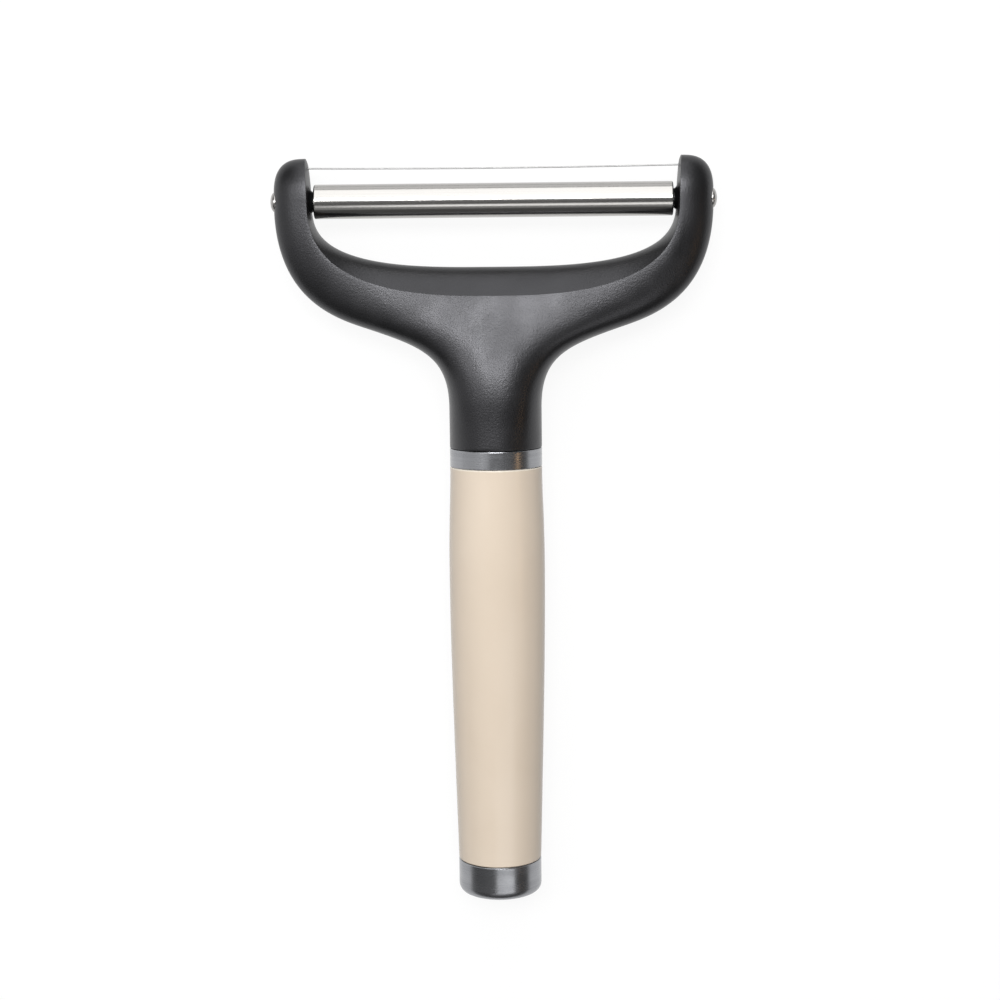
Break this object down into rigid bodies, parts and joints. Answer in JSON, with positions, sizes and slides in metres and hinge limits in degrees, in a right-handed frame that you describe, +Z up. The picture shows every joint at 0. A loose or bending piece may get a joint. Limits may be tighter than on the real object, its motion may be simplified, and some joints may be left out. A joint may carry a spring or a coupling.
{
  "type": "wire cheese slicer",
  "caption": "Wire cheese slicer: a black moulded yoke holds a taut cutting wire over a free-turning steel roller, on a tapered cream grip with a steel collar and end cap.",
  "frame": {"origin": "middle of the slicer's footprint as it lies on its back, on the surface it lies on", "axes": "+Y from the butt to the arm tips, +X along the roller, +Z up out of the front of the slicer"},
  "size_m": [0.1262, 0.2134, 0.0276],
  "materials": {
    "black_nylon": "satin black moulded nylon with a fine texture",
    "wire_steel": "drawn stainless wire",
    "roller_steel": "polished stainless tube",
    "cap_steel": "polished stainless dome",
    "satin_steel": "satin stainless, brushed round",
    "fixing_steel": "plain steel, hidden",
    "cream_plastic": "glossy cream moulded plastic",
    "bush_plastic": "plain black moulded plastic"
  },
  "bodies": {
    "slicer": {"head_yoke": "black_nylon", "cutting_wire": "wire_steel", "wire_anchor_left": "fixing_steel", "wire_anchor_right": "fixing_steel", "roller_axle": "fixing_steel", "axle_cap_left": "cap_steel", "axle_cap_right": "cap_steel", "neck_collar": "satin_steel", "handle_grip": "cream_plastic", "end_cap": "satin_steel", "cap_plug": "bush_plastic", "tang_screw": "fixing_steel"},
    "roller": {"roller_sleeve": "roller_steel", "roller_bush_left": "bush_plastic", "roller_bush_right": "bush_plastic"}
  },
  "joints": [
    {"name": "roller_spin", "type": "hinge", "parent": "slicer", "child": "roller", "pos_m": [0, 0.09464, 0.0138], "axis": [1, 0, 0], "continuous": true}
  ]
}
